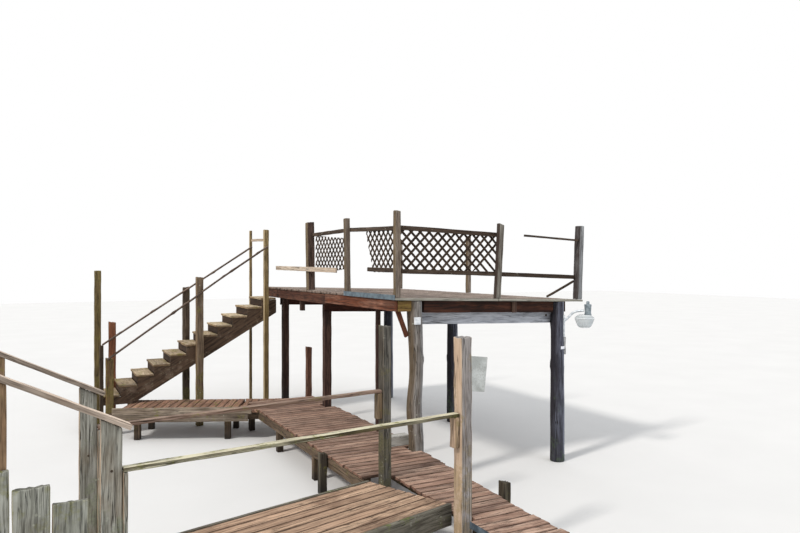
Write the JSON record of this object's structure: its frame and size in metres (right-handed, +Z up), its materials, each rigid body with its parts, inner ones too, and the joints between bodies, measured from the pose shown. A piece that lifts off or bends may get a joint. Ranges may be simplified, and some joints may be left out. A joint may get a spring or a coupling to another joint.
{
  "type": "wooden jetty",
  "caption": "Weathered timber jetty: a railed deck on piles with lattice, a stair down to a low boardwalk along the bank, and a railed approach.",
  "frame": {"origin": "middle of the foot of the round corner pile, at the lowest ground", "axes": "+X out over the water, +Y along the bank, +Z up"},
  "size_m": [9.4927, 11.046, 4.1255],
  "materials": {
    "round_pile": "dark weathered bark-free pile",
    "log": "weathered natural log",
    "dark_post": "dark stained squared timber",
    "grey_board": "bleached silver-grey board",
    "red_timber": "red-brown stained timber, flaking",
    "deck_board": "worn deck boards",
    "edge_metal": "weathered blue-grey edge strip",
    "yellow_block": "lichen-stained block",
    "grey_post": "weathered grey-brown posts",
    "dark_rail": "dark weathered rails",
    "lattice_wood": "dark brown lattice laths",
    "stair_timber": "brown stair timber",
    "mossy_tread": "worn treads with moss",
    "mossy_post": "posts with green and yellow moss",
    "pole_wood": "peeled poles",
    "walk_board": "red-brown worn boards",
    "walk_timber": "damp brown timber",
    "mossy_rail": "grey rails with yellow-green moss",
    "pale_plank": "bleached grey planks and handrails",
    "white_plastic": "plain weathered plate and box",
    "lamp_metal": "weathered cast lamp body",
    "lamp_clear": "ribbed clear bowl"
  },
  "bodies": {
    "root": {"corner_pile": "round_pile", "far_piles": "round_pile", "corner_log": "log", "bank_props": "dark_post", "grey_cross_board": "grey_board", "red_cross_boards": "red_timber", "rim_joists": "red_timber", "bank_fascia": "red_timber", "joists": "red_timber", "deck_boards": "deck_board", "edge_strips": "edge_metal", "deck_blocks": "yellow_block", "knee_brace": "red_timber", "bank_guard_posts": "grey_post", "near_guard_posts": "grey_post", "water_guard_posts": "grey_post", "top_rails": "dark_rail", "lower_rails": "dark_rail", "pale_rail": "pale_plank", "near_lattice": "lattice_wood", "bank_lattice": "lattice_wood", "guard_brace": "dark_rail", "stair_stringers": "stair_timber", "stair_treads": "mossy_tread", "stair_risers": "stair_timber", "stair_foot_posts": "mossy_post", "stair_mid_posts": "grey_post", "stair_top_posts": "mossy_post", "stair_handrails": "pole_wood", "walk_boards": "walk_board", "arm_boards": "walk_board", "walk_bearers": "walk_timber", "arm_edge_boards": "walk_timber", "walk_posts": "walk_timber", "walk_stubs": "mossy_post", "walk_sleeper": "grey_board", "tall_posts": "grey_post", "post_plate": "white_plastic", "landing_deck": "walk_board", "landing_sides": "walk_timber", "landing_posts": "walk_timber", "level_rails": "mossy_rail", "rail_cleats": "mossy_rail", "station_planks": "pale_plank", "slope_handrails": "pale_plank", "slope_posts": "grey_post", "bank_planks": "mossy_post", "lamp_arm": "lamp_metal", "lamp_hood": "lamp_metal", "lamp_bowl": "lamp_clear", "lamp_conduit": "lamp_metal", "switch_box": "white_plastic"}
  },
  "joints": []
}
